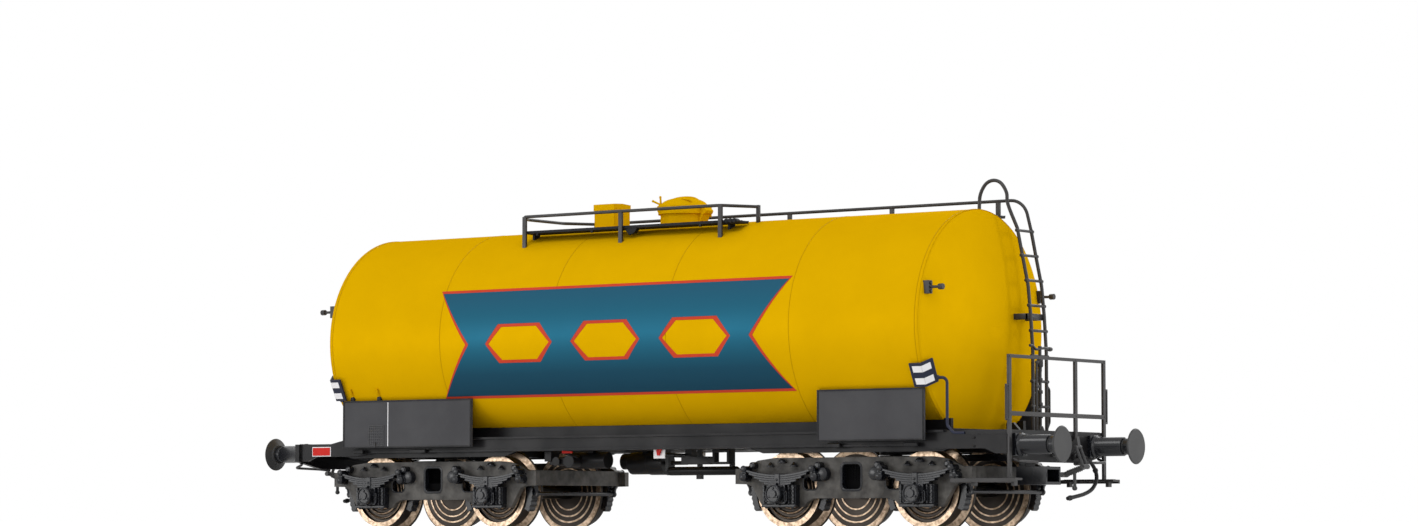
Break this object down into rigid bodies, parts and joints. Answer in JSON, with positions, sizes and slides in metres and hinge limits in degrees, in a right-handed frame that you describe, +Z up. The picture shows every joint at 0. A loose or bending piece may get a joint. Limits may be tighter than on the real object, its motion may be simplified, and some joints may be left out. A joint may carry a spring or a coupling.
{
  "type": "scale model railway tank car",
  "caption": "Scale model bogie tank car: long cylinder with dished ends, roof walkway and rail, end ladder and platform, swivelling bogies, turning wheelsets and swinging couplers.",
  "frame": {"origin": "on the floor under the middle of the car, where the wheel flanges stand", "axes": "+X along the car towards the ladder and the platform, +Z up, Y across"},
  "size_m": [0.1424, 0.033, 0.0504],
  "materials": {
    "tank_yellow": "satin, lightly dusty",
    "frame_black": "matt",
    "bogie_black": "matt",
    "wheel_bronze": "burnished, satin",
    "axle_steel": "satin",
    "buffer_metal": "satin",
    "rail_metal": "satin",
    "board_grey": "matt",
    "marker_white": "matt, with dark stripes",
    "walkway_grey": "matt, fine grid",
    "deck_grey": "matt, fine grid"
  },
  "bodies": {
    "car": {"tank_barrel": "tank_yellow", "tank_ends": "tank_yellow", "tank_cradle": "frame_black", "underframe": "frame_black", "end_deck": "deck_grey", "platform_railing": "rail_metal", "end_steps": "rail_metal", "handbrake": "rail_metal", "buffer_housings": "frame_black", "buffer_heads": "buffer_metal", "drawgear": "buffer_metal", "brake_hoses": "frame_black", "shunter_grips": "rail_metal", "manhole_neck": "tank_yellow", "manhole_lid": "tank_yellow", "valve_box": "tank_yellow", "roof_walkway": "walkway_grey", "roof_railing": "rail_metal", "end_ladder": "rail_metal", "side_boards_long": "board_grey", "side_boards_short": "board_grey", "marker_boards": "marker_white", "lamp_brackets": "rail_metal", "brake_cylinder": "frame_black", "air_tanks": "frame_black", "brake_rigging": "frame_black"},
    "bogie_left": {"bogie_frame_left": "bogie_black", "bogie_springs_left": "bogie_black", "axleboxes_left": "bogie_black", "bogie_brakes_left": "bogie_black"},
    "coupler_left": {"coupler_left": "bogie_black"},
    "bogie_right": {"bogie_frame_right": "bogie_black", "bogie_springs_right": "bogie_black", "axleboxes_right": "bogie_black", "bogie_brakes_right": "bogie_black"},
    "coupler_right": {"coupler_right": "bogie_black"},
    "wheelset_1": {"wheels_1": "wheel_bronze", "axle_1": "axle_steel"},
    "wheelset_2": {"wheels_2": "wheel_bronze", "axle_2": "axle_steel"},
    "wheelset_3": {"wheels_3": "wheel_bronze", "axle_3": "axle_steel"},
    "wheelset_4": {"wheels_4": "wheel_bronze", "axle_4": "axle_steel"}
  },
  "joints": [
    {"name": "bogie_left_swivel", "type": "hinge", "parent": "car", "child": "bogie_left", "pos_m": [-0.03793, 0, 0.0112], "axis": [0, 0, 1], "range_deg": [-6.5, 6.5]},
    {"name": "coupler_left_swing", "type": "hinge", "parent": "car", "child": "coupler_left", "pos_m": [-0.046, 0, 0.0107], "axis": [0, 0, 1], "range_deg": [-8, 8], "stiffness_Nm_per_rad": 0.00002},
    {"name": "bogie_right_swivel", "type": "hinge", "parent": "car", "child": "bogie_right", "pos_m": [0.03793, 0, 0.0112], "axis": [0, 0, 1], "range_deg": [-6.5, 6.5]},
    {"name": "coupler_right_swing", "type": "hinge", "parent": "car", "child": "coupler_right", "pos_m": [0.046, 0, 0.0107], "axis": [0, 0, 1], "range_deg": [-8, 8], "stiffness_Nm_per_rad": 0.00002},
    {"name": "wheelset_1_spin", "type": "hinge", "parent": "bogie_left", "child": "wheelset_1", "pos_m": [-0.04942, 0, 0.0063], "axis": [0, 1, 0], "continuous": true},
    {"name": "wheelset_2_spin", "type": "hinge", "parent": "bogie_left", "child": "wheelset_2", "pos_m": [-0.02644, 0, 0.0063], "axis": [0, 1, 0], "continuous": true},
    {"name": "wheelset_3_spin", "type": "hinge", "parent": "bogie_right", "child": "wheelset_3", "pos_m": [0.02644, 0, 0.0063], "axis": [0, 1, 0], "continuous": true},
    {"name": "wheelset_4_spin", "type": "hinge", "parent": "bogie_right", "child": "wheelset_4", "pos_m": [0.04942, 0, 0.0063], "axis": [0, 1, 0], "continuous": true}
  ]
}
